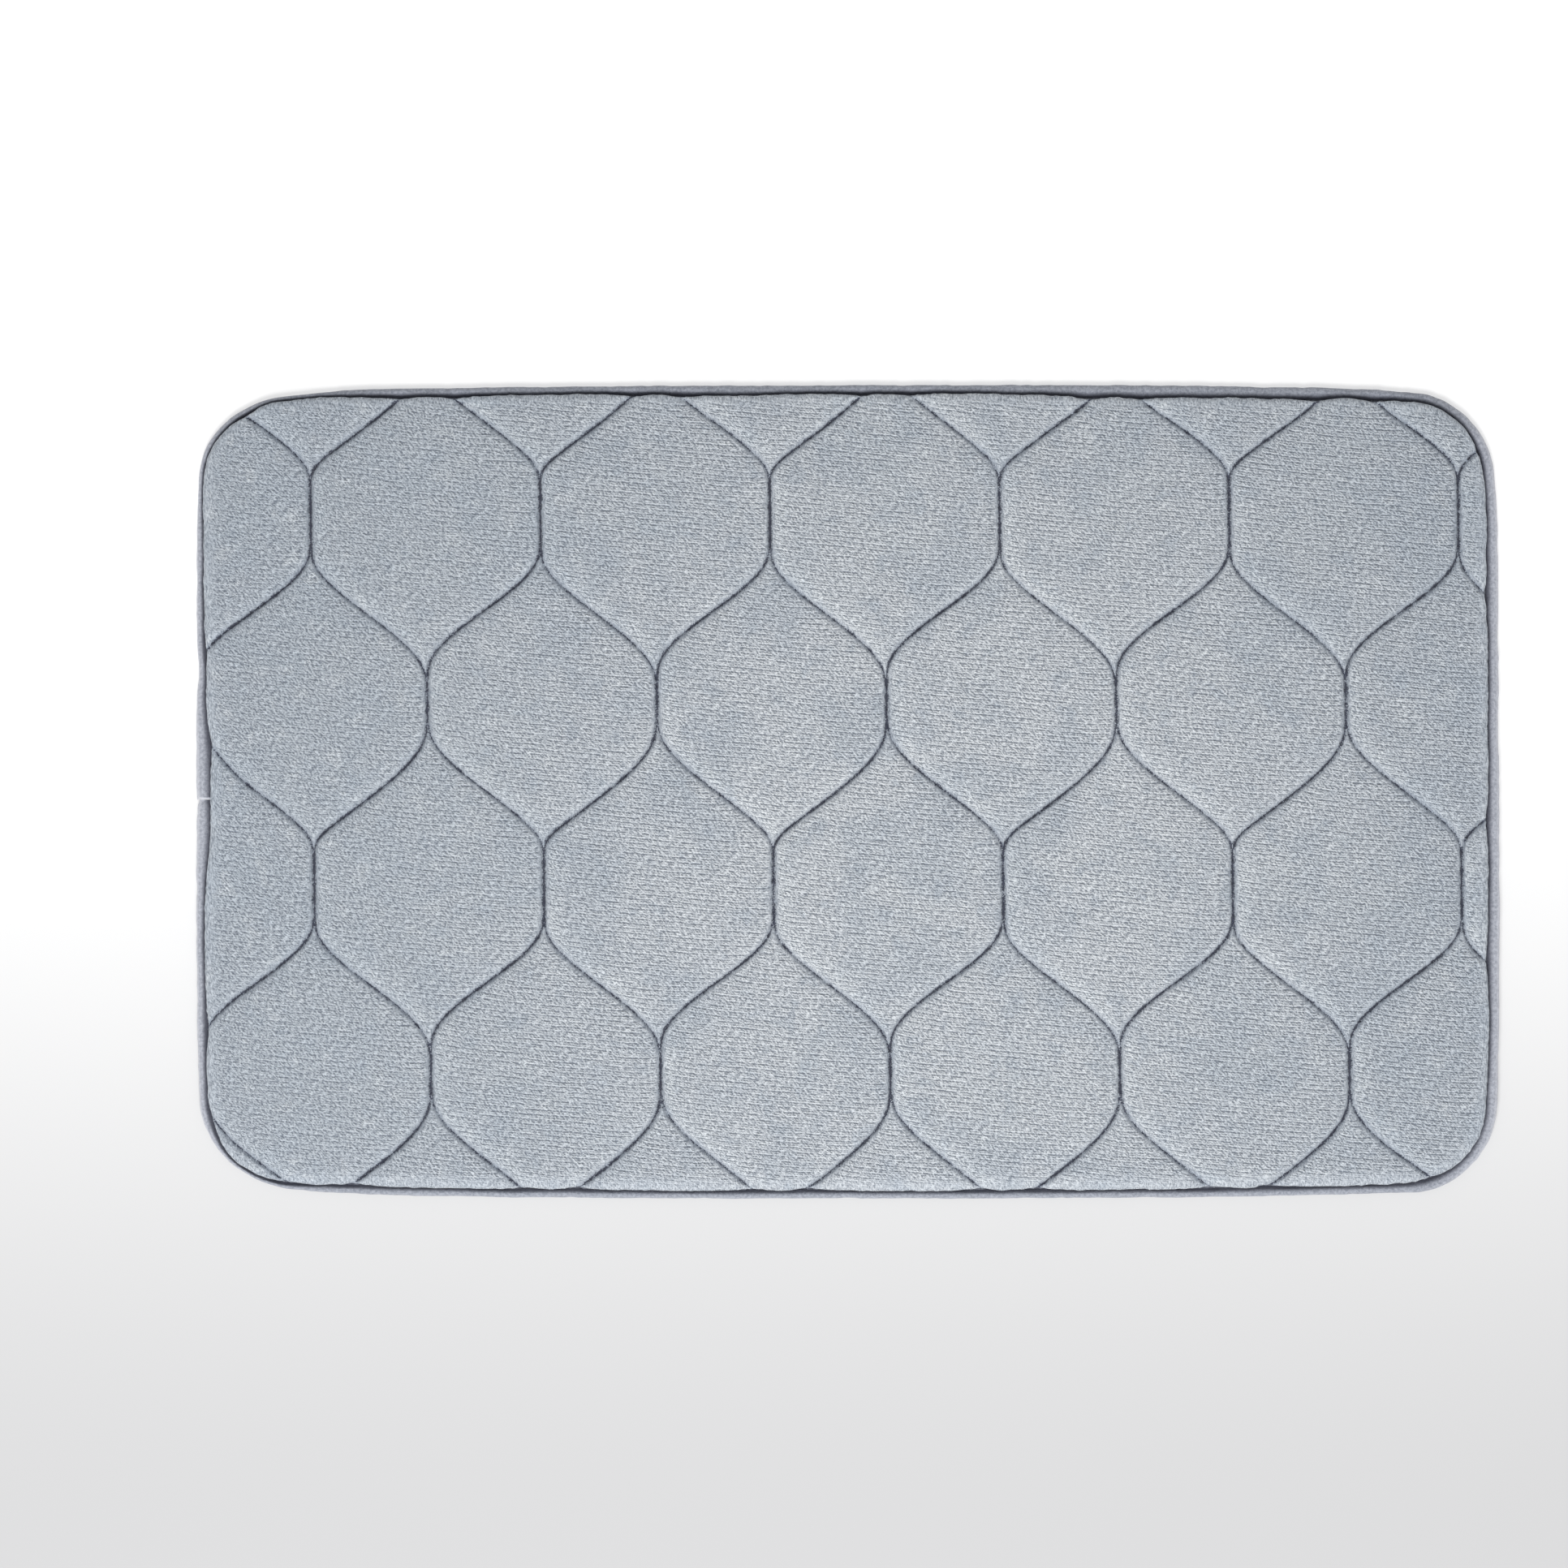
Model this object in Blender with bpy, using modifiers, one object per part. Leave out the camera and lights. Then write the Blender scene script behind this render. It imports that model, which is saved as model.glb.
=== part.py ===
"""A quilted memory-foam bath mat.

The fleece cover, the foam slab and the anti-slip backing lie on each other. A binding strip folds round
their edges. Wavy lock-stitch seams quilt the cover in ogee cells, and each seam has a needle thread in a
channel of the cover and a bobbin thread under the foam. The long side runs along X, the mat lies on Z = 0,
and the origin is at the middle of its underside.
"""
import bmesh
import bpy
import math

# Outline, in metres. The corners go anticlockwise from +X +Y.
LENGTH = 0.800
WIDTH = 0.500
CORNER_RADII = (0.048, 0.051, 0.056, 0.052)
CORNER_CENTRES = ((1, 1), (-1, 1), (-1, -1), (1, -1))
END_BOW = 0.0023
SIDE_BOW = 0.0053
CORNER_STEPS = 7
LONG_STEPS = 6
SHORT_STEPS = 4

# Heights of the layers
GAP = 0.0003
THREAD_RADIUS = 0.0003
BACKING_THICKNESS = 0.0010
FLANGE_THICKNESS = 0.0009
FOAM_BOTTOM = BACKING_THICKNESS + 2 * GAP + 2 * THREAD_RADIUS
COVER_THICKNESS = 0.0045
TOP = 0.0150
COVER_UNDERSIDE = TOP - COVER_THICKNESS
FOAM_TOP = COVER_UNDERSIDE - 0.00035
CHANNEL_FLOOR = 0.0120
CHANNEL_WIDTH = 0.0034

# Edge binding
BINDING_THICKNESS = 0.00120
BINDING_HEIGHT = 0.0080
FLANGE_EDGE = 0.0030
BACKING_FLANGE = 0.00175
COVER_FLANGE = 0.0030
COVER_FLANGE_TOP = 0.0045
EDGE_SEAM_INSET = 0.0066
EDGE_SEAM_BELOW = 0.00045

# Quilting pattern: columns along X, rows along Y, each line swings over half a column and back
COLUMN_PITCH = 0.1407
ROW_PITCH = 0.1137
COLUMNS = 6
PATTERN_X = 0.0243
PATTERN_Y = -0.0038
PATTERN_LEAN = 0.0100
LINE_GAP = 0.0010
WAVE_STEPS = 4
# A swing that leaves a join or arrives at one, by the side its line swings to:
# the straight runs at its join and at its touch, and how sharply it turns off the join
LEAVING = {1: (0.0260, 0.0150, 0.5), -1: (0.0190, 0.0205, 0.0)}
ARRIVING = {1: (0.0310, 0.0135, 1.2), -1: (0.0300, 0.0125, 0.7)}
THREAD_INSET = 0.0086
CHANNEL_INSET = 0.0040


def new_collection(name):
    collection = bpy.data.collections.new(name)
    bpy.context.scene.collection.children.link(collection)
    return collection


def make_material(name, colour, roughness):
    material = bpy.data.materials.new(name)
    material.use_nodes = True
    shader = material.node_tree.nodes["Principled BSDF"]
    shader.inputs["Base Color"].default_value = (*colour, 1.0)
    shader.inputs["Roughness"].default_value = roughness
    shader.inputs["Metallic"].default_value = 0.0
    material.diffuse_color = (*colour, 1.0)
    return material


# ---------------------------------------------------------------- outline

def bowed(x, y):
    """Draw a point in, more the nearer it lies to a corner, so that the sides bow outwards."""
    half_length = LENGTH / 2
    half_width = WIDTH / 2
    drawn_x = x - math.copysign(END_BOW * abs(y / half_width) ** 3, x)
    drawn_y = y - math.copysign(SIDE_BOW * abs(x / half_length) ** 3, y)
    return drawn_x, drawn_y


def outline(inset):
    """The mat's outline, moved inwards by inset, as points that go anticlockwise."""
    half_length = LENGTH / 2 - inset
    half_width = WIDTH / 2 - inset
    arcs = []
    for index, (side_x, side_y) in enumerate(CORNER_CENTRES):
        radius = CORNER_RADII[index] - inset
        centre_x = side_x * (half_length - radius)
        centre_y = side_y * (half_width - radius)
        arc = []
        for step in range(CORNER_STEPS + 1):
            angle = math.radians(90 * (index + step / CORNER_STEPS))
            arc.append((centre_x + radius * math.cos(angle), centre_y + radius * math.sin(angle)))
        arcs.append(arc)
    points = []
    for index, arc in enumerate(arcs):
        points.extend(arc)
        start_x, start_y = arc[-1]
        end_x, end_y = arcs[(index + 1) % 4][0]
        steps = LONG_STEPS if index % 2 == 0 else SHORT_STEPS
        for step in range(1, steps):
            share = step / steps
            points.append((start_x + (end_x - start_x) * share, start_y + (end_y - start_y) * share))
    return [bowed(x, y) for x, y in points]


def inside(x, y, inset):
    """Whether a point lies inside the outline moved inwards by inset."""
    half_length = LENGTH / 2 - END_BOW * abs(y / (WIDTH / 2)) ** 3 - inset
    half_width = WIDTH / 2 - SIDE_BOW * abs(x / (LENGTH / 2)) ** 3 - inset
    if abs(x) > half_length or abs(y) > half_width:
        return False
    corner = CORNER_CENTRES.index((1 if x > 0 else -1, 1 if y > 0 else -1))
    radius = CORNER_RADII[corner] - inset
    over_x = abs(x) - (half_length - radius)
    over_y = abs(y) - (half_width - radius)
    return over_x < 0 or over_y < 0 or math.hypot(over_x, over_y) <= radius


# ---------------------------------------------------------------- quilting lines

def wave(side, y):
    """How far a line has swung at y, from 0 at its own column to 1 at the neighbouring touch."""
    row = (PATTERN_Y + 1.5 * ROW_PITCH - y) / ROW_PITCH
    phase = row % 2.0
    join_run, touch_run, turn = LEAVING[side] if phase < 1.0 else ARRIVING[side]
    from_join = min(phase, 2.0 - phase) * ROW_PITCH
    u = (from_join - join_run) / (ROW_PITCH - join_run - touch_run)
    u = min(max(u, 0.0), 1.0)
    return u * u * (3 - 2 * u) + turn * u * (1 - u) ** 2


def line_x(column, side, y):
    """X of the line of a column that swings to one side, at y."""
    centre = PATTERN_X + (column - (COLUMNS - 1) / 2) * COLUMN_PITCH - PATTERN_LEAN * y
    swing = LINE_GAP / 2 + (COLUMN_PITCH / 2 - LINE_GAP) * wave(side, y)
    return centre + side * swing


def line_stations(side):
    """The Y values that a line needs: the ends of its straight runs and even steps along each swing."""
    stations = []
    for row in range(-2, 5):
        y_row = PATTERN_Y + (1.5 - row) * ROW_PITCH
        if row % 2 == 0:
            first, last, _ = LEAVING[side]
        else:
            last, first, _ = ARRIVING[side]
        start = y_row - first
        end = y_row - ROW_PITCH + last
        for step in range(WAVE_STEPS + 1):
            stations.append(start + (end - start) * step / WAVE_STEPS)
    return stations


def edge_crossing(column, side, y_in, y_out, inset):
    """The Y between an inner and an outer station where the line meets the inset outline."""
    for _ in range(30):
        middle = (y_in + y_out) / 2
        if inside(line_x(column, side, middle), middle, inset):
            y_in = middle
        else:
            y_out = middle
    return y_in


def seam_runs(inset):
    """Each unbroken stretch of quilting line inside the inset outline, from left to right, top down."""
    runs = []
    for column in range(COLUMNS):
        for side in (-1, 1):
            run = []
            before = None
            for y in line_stations(side):
                is_in = inside(line_x(column, side, y), y, inset)
                if is_in and not run and before is not None:
                    run.append(edge_crossing(column, side, y, before, inset))
                if is_in:
                    run.append(y)
                elif run:
                    run.append(edge_crossing(column, side, before, y, inset))
                    runs.append([(line_x(column, side, at), at) for at in run])
                    run = []
                before = y
    return runs


# ---------------------------------------------------------------- solids

def loop_surface(name, stations, collection, capped):
    """A surface through copies of the outline, one for each (inset, height), its ends capped or left open."""
    mesh = bpy.data.meshes.new(name)
    shape = bmesh.new()
    rings = []
    for inset, height in stations:
        rings.append([shape.verts.new((x, y, height)) for x, y in outline(inset)])
    count = len(rings[0])
    for lower, upper in zip(rings, rings[1:]):
        for index in range(count):
            after = (index + 1) % count
            shape.faces.new((lower[index], lower[after], upper[after], upper[index]))
    if capped:
        shape.faces.new(list(reversed(rings[0])))
        shape.faces.new(rings[-1])
    shape.to_mesh(mesh)
    shape.free()
    piece = bpy.data.objects.new(name, mesh)
    collection.objects.link(piece)
    return piece


def tube(name, points, height, closed, collection, material):
    """A thread that follows points at one height."""
    curve = bpy.data.curves.new(name, "CURVE")
    curve.dimensions = "3D"
    curve.bevel_depth = THREAD_RADIUS
    curve.bevel_resolution = 2
    curve.use_fill_caps = not closed
    spline = curve.splines.new("POLY")
    spline.points.add(len(points) - 1)
    for point, (x, y) in zip(spline.points, points):
        point.co = (x, y, height, 1.0)
    spline.use_cyclic_u = closed
    curve.materials.append(material)
    piece = bpy.data.objects.new(name, curve)
    collection.objects.link(piece)
    return piece


def channel_cutter(name, points, collection):
    """A ribbon along points that stands from the channel floor to above the cover, thickened to its width."""
    depth = TOP + 0.002 - CHANNEL_FLOOR
    curve = bpy.data.curves.new(name, "CURVE")
    curve.dimensions = "2D"
    curve.fill_mode = "NONE"
    curve.extrude = depth / 2
    spline = curve.splines.new("POLY")
    spline.points.add(len(points) - 1)
    for point, (x, y) in zip(spline.points, points):
        point.co = (x, y, 0.0, 1.0)
    ribbon = bpy.data.objects.new(name + "_path", curve)
    ribbon.location.z = CHANNEL_FLOOR + depth / 2
    collection.objects.link(ribbon)
    bpy.context.view_layer.update()
    evaluated = ribbon.evaluated_get(bpy.context.evaluated_depsgraph_get())
    mesh = bpy.data.meshes.new_from_object(evaluated)
    cutter = bpy.data.objects.new(name, mesh)
    cutter.matrix_world = ribbon.matrix_world
    collection.objects.link(cutter)
    bpy.data.objects.remove(ribbon)
    thicken = cutter.modifiers.new("Width", "SOLIDIFY")
    thicken.thickness = CHANNEL_WIDTH
    thicken.offset = 0.0
    thicken.use_even_offset = True
    cutter.hide_render = True
    cutter.display_type = "WIRE"
    return cutter


def make_backing(collection, material):
    """The anti-slip sheet, flat underneath, its edge stepped up into the binding."""
    flange_top = BACKING_FLANGE + FLANGE_THICKNESS
    stations = (
        (0.0079, 0.0),
        (0.0068, BACKING_FLANGE),
        (FLANGE_EDGE, BACKING_FLANGE),
        (FLANGE_EDGE, flange_top),
        (0.0072, flange_top),
        (0.0081, BACKING_THICKNESS),
    )
    backing = loop_surface("backing", stations, collection, True)
    backing.data.materials.append(material)
    return backing


def make_foam(collection, material):
    """The memory-foam slab, its upper edge rounded under the cover."""
    stations = (
        (0.0100, FOAM_BOTTOM),
        (0.0100, 0.0036),
        (0.0106, 0.0070),
        (0.0122, 0.0091),
        (0.0153, FOAM_TOP),
    )
    foam = loop_surface("foam_core", stations, collection, True)
    foam.data.materials.append(material)
    return foam


def make_cover(collection, material, cutters):
    """The fleece sheet: a raised plate with rounded sides and a flange that runs into the binding."""
    stations = (
        (0.0150, COVER_UNDERSIDE),
        (0.0118, 0.0095),
        (0.0102, 0.0070),
        (0.0094, 0.0036),
        (0.0086, COVER_FLANGE),
        (FLANGE_EDGE, COVER_FLANGE),
        (FLANGE_EDGE, COVER_FLANGE_TOP),
        (0.0072, COVER_FLANGE_TOP),
        (0.0073, 0.0090),
        (0.0080, 0.0124),
        (0.0098, 0.0142),
        (0.0130, TOP),
    )
    cover = loop_surface("top_cover", stations, collection, True)
    cover.data.materials.append(material)
    for index, points in enumerate(seam_runs(CHANNEL_INSET), 1):
        cut = cover.modifiers.new(f"Channel {index:02d}", "BOOLEAN")
        cut.operation = "DIFFERENCE"
        cut.solver = "EXACT"
        cut.object = channel_cutter(f"channel_{index:02d}", points, cutters)
    return cover


def make_binding(collection, material):
    """The binding strip: its section rolls from the underside, round the edge, to the groove on top."""
    stations = (
        (0.0060, 0.0),
        (0.0036, 0.0),
        (0.0018, 0.0005),
        (0.0005, 0.0019),
        (0.0, 0.0040),
        (0.0005, 0.0060),
        (0.0016, 0.0074),
        (0.0031, BINDING_HEIGHT),
        (0.0045, 0.0076),
        (0.0056, 0.0066),
        (0.0060, 0.0055),
        (0.0060, COVER_FLANGE_TOP + GAP),
    )
    binding = loop_surface("edge_binding", stations, collection, False)
    binding.data.materials.append(material)
    thicken = binding.modifiers.new("Thickness", "SOLIDIFY")
    thicken.thickness = BINDING_THICKNESS
    thicken.offset = -1.0
    thicken.use_even_offset = True
    return binding


def make_threads(collection, material):
    """The needle and bobbin threads of every seam."""
    needle_height = CHANNEL_FLOOR + GAP + THREAD_RADIUS
    bobbin_height = BACKING_THICKNESS + GAP + THREAD_RADIUS
    for index, points in enumerate(seam_runs(THREAD_INSET), 1):
        tube(f"seam_{index:02d}_needle_thread", points, needle_height, False, collection, material)
        tube(f"seam_{index:02d}_bobbin_thread", points, bobbin_height, False, collection, material)
    edge = outline(EDGE_SEAM_INSET)
    edge_height = COVER_FLANGE_TOP + 2 * THREAD_RADIUS
    tube("binding_needle_thread", edge, edge_height, True, collection, material)
    tube("binding_bobbin_thread", edge, EDGE_SEAM_BELOW, True, collection, material)


def main():
    for existing in list(bpy.data.objects):
        bpy.data.objects.remove(existing)
    mat = new_collection("bath_mat")
    cutters = new_collection("cutters")
    fleece = make_material("fleece", (0.37, 0.43, 0.50), 0.95)
    velour = make_material("velour", (0.36, 0.40, 0.49), 0.90)
    foam = make_material("memory_foam", (0.86, 0.84, 0.78), 0.90)
    rubber = make_material("anti_slip", (0.55, 0.57, 0.59), 0.75)
    thread = make_material("thread", (0.16, 0.19, 0.24), 0.60)
    make_backing(mat, rubber)
    make_foam(mat, foam)
    make_cover(mat, fleece, cutters)
    make_binding(mat, velour)
    make_threads(mat, thread)


main()
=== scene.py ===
import math

import bpy
import numpy as np
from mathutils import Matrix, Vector, bvhtree, geometry, kdtree


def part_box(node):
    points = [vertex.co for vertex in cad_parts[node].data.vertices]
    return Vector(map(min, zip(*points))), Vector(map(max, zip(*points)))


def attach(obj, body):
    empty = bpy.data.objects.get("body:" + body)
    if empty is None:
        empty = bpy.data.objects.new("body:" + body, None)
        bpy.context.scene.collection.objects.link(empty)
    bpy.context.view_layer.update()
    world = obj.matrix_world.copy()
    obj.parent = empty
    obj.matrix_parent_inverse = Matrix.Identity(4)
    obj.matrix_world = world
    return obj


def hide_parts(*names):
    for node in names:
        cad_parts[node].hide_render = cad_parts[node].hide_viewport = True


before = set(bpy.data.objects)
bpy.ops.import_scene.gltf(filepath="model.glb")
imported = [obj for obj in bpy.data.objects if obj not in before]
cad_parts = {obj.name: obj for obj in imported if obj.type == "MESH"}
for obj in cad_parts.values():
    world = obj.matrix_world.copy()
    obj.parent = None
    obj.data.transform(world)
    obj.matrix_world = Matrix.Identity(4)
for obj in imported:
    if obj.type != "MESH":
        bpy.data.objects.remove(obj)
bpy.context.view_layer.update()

MM = 0.001

# ---------------------------------------- the frame's sizes

BINDING_LOW, BINDING_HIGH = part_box("edge_binding")
LENGTH = BINDING_HIGH.x - BINDING_LOW.x
WIDTH = BINDING_HIGH.y - BINDING_LOW.y
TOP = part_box("top_cover")[1].z
FOAM_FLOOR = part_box("foam_core")[0].z

# outline: the corners go anticlockwise from the +X +Y one, and the sides pull in towards the corners
CORNER_RADII = (0.048, 0.051, 0.056, 0.052)
CORNER_CENTRES = ((1, 1), (-1, 1), (-1, -1), (1, -1))
SMALLEST_RADIUS = 0.0005
END_BOW = 0.0023
SIDE_BOW = 0.0053
MIDDLE_SHARE = 0.6    # the bow moves points sideways in full only past this share of the way to a corner

# quilting pattern: each column is a pair of lines that run side by side, swing out to touch the lines of
# the next columns, and swing back
COLUMN_PITCH = 0.1407
ROW_PITCH = 0.1137
COLUMNS = 6
PATTERN_X = 0.0243
PATTERN_Y = -0.0038
PATTERN_LEAN = 0.0100
LINE_GAP = 0.0005
TURN_ROUNDING = 0.0065
# for the line on each side: half the length of its join, half the length of its touch, and how bulged it is
LEAVING = {1: (0.0260, 0.0150, 0.5), -1: (0.0190, 0.0205, 0.0)}
ARRIVING = {1: (0.0310, 0.0135, 1.2), -1: (0.0300, 0.0125, 0.7)}
THREAD_INSET = 0.0086     # the quilting threads end here
GROOVE_INSET = 0.0050     # the groove between the cover and the binding
STITCH = 0.0048

# where the binding is wider (+) or narrower (-) than its usual 6 mm: place, reach along the edge, amount
BINDING_SWELLS = (
    (-0.400, -0.004, 0.050, 0.0034),    # over the lapped join on the left edge
    (-0.400, 0.125, 0.050, -0.0009),
    (-0.340, 0.246, 0.034, -0.0023),    # either side of the top left corner
    (-0.399, 0.195, 0.034, -0.0020),
    (-0.080, 0.250, 0.040, 0.0010),
    (0.200, 0.250, 0.095, 0.0026),      # right half of the top edge
    (0.385, 0.215, 0.045, 0.0008),
    (-0.365, -0.240, 0.040, -0.0024),   # bottom left corner
    (0.385, -0.215, 0.050, 0.0016),     # bottom right corner
    (0.400, -0.100, 0.025, 0.0009),
    (0.400, 0.130, 0.030, 0.0009),
    (0.000, -0.250, 0.260, -0.0007),    # bottom edge
    (0.000, 0.250, 0.300, -0.0004),     # top edge
    (0.400, 0.010, 0.190, 0.0018),      # right edge
)
# small dents in the outline: place, reach, depth
OUTLINE_DENTS = (
    (-0.400, 0.075, 0.013, 0.0015),
    (-0.400, -0.200, 0.040, 0.0006),
    (0.400, -0.110, 0.060, -0.0008),
    (-0.060, 0.250, 0.140, 0.0008),
    (-0.366, 0.246, 0.045, 0.0049),     # top left corner, the roundest
    (-0.240, 0.250, 0.080, 0.0010),
    (0.385, 0.230, 0.043, 0.0039),      # top right corner
    (-0.366, -0.246, 0.045, 0.0032),    # bottom left corner
)


# ---------------------------------------- small numeric helpers

def millimetres(*values):
    return [v * MM for v in values]


def lattice(ix, iy, seed):
    """A repeatable value from -1 to 1 for each whole-numbered point."""
    mixed = (ix * 374761393 + iy * 668265263 + seed * 144269504) & 0xFFFFFFFF
    mixed = ((mixed ^ (mixed >> 13)) * 1274126177) & 0xFFFFFFFF
    return ((mixed ^ (mixed >> 16)) & 0xFFFF) / 32767.5 - 1.0


def ripple(x, y, size, seed):
    """Smooth noise from -1 to 1 with bumps about size metres across."""
    gx, gy = x / size, y / size
    ix, iy = np.floor(gx).astype(np.int64), np.floor(gy).astype(np.int64)
    fx, fy = gx - ix, gy - iy
    ux, uy = fx * fx * (3 - 2 * fx), fy * fy * (3 - 2 * fy)
    near = lattice(ix, iy, seed) * (1 - ux) + lattice(ix + 1, iy, seed) * ux
    far = lattice(ix, iy + 1, seed) * (1 - ux) + lattice(ix + 1, iy + 1, seed) * ux
    return near * (1 - uy) + far * uy


def smooth(low, high, value):
    t = np.clip((value - low) / (high - low), 0.0, 1.0)
    return t * t * (3 - 2 * t)


def through(knots, at):
    """A smooth curve through (place, value) knots in millimetres, read at places in metres, in metres."""
    place = np.array([k[0] for k in knots]) * MM
    value = np.array([k[1] for k in knots]) * MM
    slope = np.gradient(value, place)
    slope[0] = (value[1] - value[0]) / (place[1] - place[0])
    if value[-1] == value[-2]:
        slope[-1] = 0.0
    at = np.clip(np.asarray(at, float), place[0], place[-1])
    i = np.clip(np.searchsorted(place, at, side="right") - 1, 0, len(place) - 2)
    span = place[i + 1] - place[i]
    t = (at - place[i]) / span
    return ((2 * t**3 - 3 * t**2 + 1) * value[i] + (t**3 - 2 * t**2 + t) * span * slope[i]
            + (3 * t**2 - 2 * t**3) * value[i + 1] + (t**3 - t**2) * span * slope[i + 1])


def carried_in(knots, place):
    """The section's inset near the edge, and the plan's own inset past its last knot."""
    return through(knots, place) + np.maximum(place - knots[-1][0] * MM, 0)


# ---------------------------------------- outline

def bowed(x, y):
    """Pulls the sides in towards the corners. A point in the middle of a side isn't moved along it."""
    part_x, part_y = np.abs(x) / (LENGTH / 2), np.abs(y) / (WIDTH / 2)
    return (x - np.sign(x) * smooth(0.0, MIDDLE_SHARE, part_x) * END_BOW * part_y ** 3,
            y - np.sign(y) * smooth(0.0, MIDDLE_SHARE, part_y) * SIDE_BOW * part_x ** 3)


def outline(inset, step):
    """Points about step apart round the mat, inset from its edge, anticlockwise from the right end of the top
    edge. The number of points doesn't depend on the inset."""
    xs, ys = [], []
    for index, (sx, sy) in enumerate(CORNER_CENTRES):
        full = CORNER_RADII[index]
        radius = max(full - inset, SMALLEST_RADIUS)
        cx, cy = sx * (LENGTH / 2 - full), sy * (WIDTH / 2 - full)
        count = max(2, round(full * math.pi / 2 / step))
        angles = (index + np.arange(count) / count) * math.pi / 2
        xs.append(cx + radius * np.cos(angles))
        ys.append(cy + radius * np.sin(angles))
        after = (index + 1) % 4
        nx, ny = CORNER_CENTRES[after]
        next_full = CORNER_RADII[after]
        ex, ey = nx * (LENGTH / 2 - next_full), ny * (WIDTH / 2 - next_full)
        turn = (index + 1) * math.pi / 2
        next_radius = max(next_full - inset, SMALLEST_RADIUS)
        start = (cx + radius * math.cos(turn), cy + radius * math.sin(turn))
        end = (ex + next_radius * math.cos(turn), ey + next_radius * math.sin(turn))
        count = round(math.hypot(ex - cx, ey - cy) / step)
        share = np.arange(count) / count
        xs.append(start[0] + (end[0] - start[0]) * share)
        ys.append(start[1] + (end[1] - start[1]) * share)
    return np.column_stack(bowed(np.concatenate(xs), np.concatenate(ys)))


def inset_at(x, y):
    """How far inside the edge a point is."""
    px = x + np.sign(x) * END_BOW * np.abs(y / (WIDTH / 2)) ** 3
    py = y + np.sign(y) * SIDE_BOW * np.abs(x / (LENGTH / 2)) ** 3
    radius = np.where(py >= 0, np.where(px >= 0, CORNER_RADII[0], CORNER_RADII[1]),
                      np.where(px >= 0, CORNER_RADII[3], CORNER_RADII[2]))
    qx, qy = np.abs(px) - (LENGTH / 2 - radius), np.abs(py) - (WIDTH / 2 - radius)
    outside = np.hypot(np.maximum(qx, 0), np.maximum(qy, 0))
    return radius - outside - np.minimum(np.maximum(qx, qy), 0)


def inward(x, y):
    """Unit vectors from the edge towards the middle."""
    h = 0.0002
    gx = (inset_at(x + h, y) - inset_at(x - h, y)) / (2 * h)
    gy = (inset_at(x, y + h) - inset_at(x, y - h)) / (2 * h)
    size = np.maximum(np.hypot(gx, gy), 1e-6)
    return gx / size, gy / size


def at_inset(xy, inset):
    """The points moved along the inward direction to a new inset."""
    x, y = xy[:, 0], xy[:, 1]
    nx, ny = inward(x, y)
    move = inset - inset_at(x, y)
    return np.column_stack((x + nx * move, y + ny * move))


def ring_at(inset, step):
    """The outline's points, each exactly at the inset."""
    return at_inset(outline(inset, step), inset)


def settle(co):
    """Moves points sideways as a used mat lies: the binding's width and the outline vary round the edge."""
    x, y = co[:, 0], co[:, 1]
    inset = inset_at(x, y)
    swell = 0.00035 * ripple(x, y, 0.021, 11) + 0.0002 * ripple(x, y, 0.008, 12)
    for px, py, reach, amount in BINDING_SWELLS:
        swell = swell + amount * np.exp(-(((x - px) ** 2 + (y - py) ** 2) / reach**2) ** 1.5)
    dent = 0.0002 * ripple(x, y, 0.03, 13)
    for px, py, reach, amount in OUTLINE_DENTS:
        dent = dent + amount * np.exp(-((x - px) ** 2 + (y - py) ** 2) / reach**2)
    move = swell * smooth(-0.001, 0.0062, inset) * (1 - smooth(0.009, 0.032, inset))
    move = move + dent * (1 - smooth(0.0, 0.030, inset))
    nx, ny = inward(x, y)
    out = co.copy()
    out[:, 0] = x + nx * move
    out[:, 1] = y + ny * move
    return out


# ---------------------------------------- quilting lines

def wave(side, y):
    """How far a line has swung at y, from 0 at its own join to 1 where it touches the next column."""
    row = (PATTERN_Y + 1.5 * ROW_PITCH - y) / ROW_PITCH
    phase = np.mod(row, 2.0)
    leaving = phase < 1.0
    join_run, touch_run, turn = (np.where(leaving, LEAVING[side][k], ARRIVING[side][k]) for k in range(3))
    from_join = np.minimum(phase, 2.0 - phase) * ROW_PITCH
    u = np.clip((from_join - join_run) / (ROW_PITCH - join_run - touch_run), 0.0, 1.0)
    return u * u * (3 - 2 * u) + turn * u * (1 - u) ** 2


def line_x(column, side, y):
    """The line's place across the mat, rounded where it turns into a join."""
    centre = PATTERN_X + (column - (COLUMNS - 1) / 2) * COLUMN_PITCH - PATTERN_LEAN * y
    rounded = sum(wave(side, y + TURN_ROUNDING * k / 3) for k in range(-3, 4)) / 7
    return centre + side * (LINE_GAP / 2 + (COLUMN_PITCH / 2 - LINE_GAP) * rounded)


def seam_runs(inset, step):
    """Each unbroken stretch of quilting line inside the inset outline as evenly spaced points, top down."""
    runs = []
    ys = np.arange(WIDTH / 2, -WIDTH / 2, -0.0002)
    for column in range(COLUMNS):
        for side in (-1, 1):
            xs = line_x(column, side, ys)
            inside = inset_at(xs, ys) > inset
            cuts = np.flatnonzero(np.diff(inside.astype(int)))
            for part in np.split(np.arange(len(ys)), cuts + 1):
                if not inside[part[0]] or len(part) < 10:
                    continue
                x, y = xs[part], ys[part]
                along = np.concatenate(([0], np.cumsum(np.hypot(np.diff(x), np.diff(y)))))
                even = np.linspace(0, along[-1], max(3, round(along[-1] / step) + 1))
                runs.append(np.column_stack((np.interp(even, along, x), np.interp(even, along, y))))
    return runs


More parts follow.
